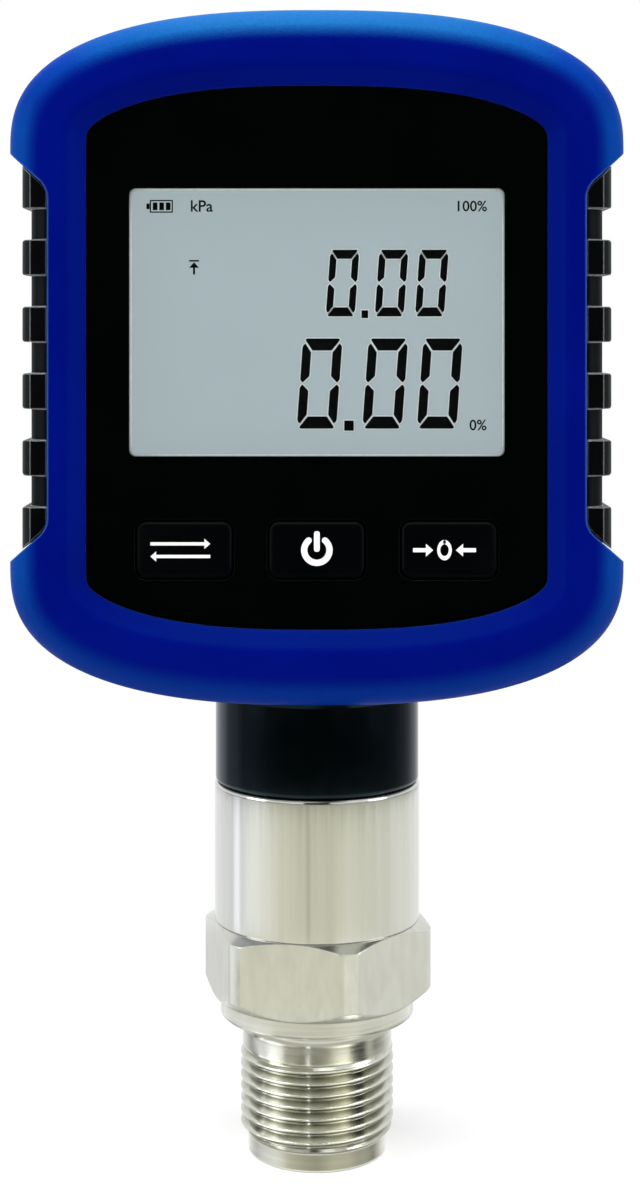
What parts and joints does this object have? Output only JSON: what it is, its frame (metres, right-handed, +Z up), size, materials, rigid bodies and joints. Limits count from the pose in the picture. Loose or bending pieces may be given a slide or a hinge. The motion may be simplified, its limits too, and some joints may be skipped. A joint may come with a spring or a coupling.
{
  "type": "digital pressure gauge",
  "caption": "Battery-powered digital pressure gauge: a display and keys in a rubber-booted head on a steel threaded pressure port.",
  "frame": {"origin": "centre of the pressure port's mouth, on the end face of the spigot", "axes": "+Z up along the port towards the head, -Y out of the display, +X to the right seen from the front"},
  "size_m": [0.0766, 0.035, 0.1471],
  "materials": {
    "blue_rubber": "satin moulded blue rubber",
    "case_black": "fine textured black plastic",
    "panel_black": "glossy black",
    "key_black": "glossy black",
    "collar_black": "glossy black",
    "clear_window": "clear and polished",
    "white_plastic": "moulded off-white",
    "switch_black": "moulded black",
    "lcd_glass": "thin polished glass",
    "polarizer_grey": "matt grey film",
    "backlight_white": "white light guide",
    "zebra_rubber": "striped contact rubber",
    "board_green": "solder-masked board",
    "chip_black": "moulded black",
    "can_aluminium": "drawn can",
    "screw_steel": "plated steel",
    "wire_red": "insulated wire",
    "cell_wrap": "plain wrapped cell",
    "spring_steel": "nickel plated",
    "insert_brass": "turned brass",
    "seal_rubber": "matt seal",
    "polished_steel": "polished stainless steel",
    "turned_steel": "turned stainless steel"
  },
  "bodies": {
    "gauge": {"rubber_boot": "blue_rubber", "front_shell": "case_black", "rear_shell": "case_black", "shell_gasket": "seal_rubber", "front_panel": "panel_black", "display_window": "clear_window", "tact_switches": "switch_black", "lcd_front_glass": "lcd_glass", "lcd_rear_glass": "lcd_glass", "lcd_polarizers": "polarizer_grey", "lcd_backlight": "backlight_white", "lcd_frame": "white_plastic", "zebra_strips": "zebra_rubber", "main_board": "board_green", "board_chips": "chip_black", "board_capacitors": "can_aluminium", "board_screws": "screw_steel", "sensor_header": "white_plastic", "sensor_plug": "white_plastic", "sensor_wires": "wire_red", "battery_left": "cell_wrap", "battery_middle": "cell_wrap", "battery_right": "cell_wrap", "battery_springs": "spring_steel", "battery_contacts": "spring_steel", "battery_leads": "wire_red", "door_gasket": "seal_rubber", "door_inserts": "insert_brass", "case_screws": "screw_steel", "case_inserts": "insert_brass", "neck_collar": "collar_black", "neck_locknut": "screw_steel", "neck_oring": "seal_rubber", "sensor_tube": "polished_steel", "process_connector": "turned_steel", "sensor_capsule": "turned_steel", "isolating_diaphragm": "turned_steel", "capsule_oring": "seal_rubber", "retaining_ring": "turned_steel", "header_pins": "insert_brass", "compensation_board": "board_green", "compensation_parts": "chip_black"},
    "left_key": {"key_left": "key_black", "plunger_left": "white_plastic"},
    "power_key": {"key_power": "key_black", "plunger_power": "white_plastic"},
    "right_key": {"key_right": "key_black", "plunger_right": "white_plastic"},
    "door": {"battery_door": "case_black", "door_screws": "screw_steel"}
  },
  "joints": [
    {"name": "left_key_press", "type": "slide", "parent": "gauge", "child": "left_key", "axis": [0, 1, 0], "range_m": [0, 0.0006], "stiffness_N_per_m": 1500},
    {"name": "power_key_press", "type": "slide", "parent": "gauge", "child": "power_key", "axis": [0, 1, 0], "range_m": [0, 0.0006], "stiffness_N_per_m": 1500},
    {"name": "right_key_press", "type": "slide", "parent": "gauge", "child": "right_key", "axis": [0, 1, 0], "range_m": [0, 0.0006], "stiffness_N_per_m": 1500},
    {"name": "door_lift_off", "type": "slide", "parent": "gauge", "child": "door", "axis": [0, 1, 0], "range_m": [0, 0.03]}
  ]
}
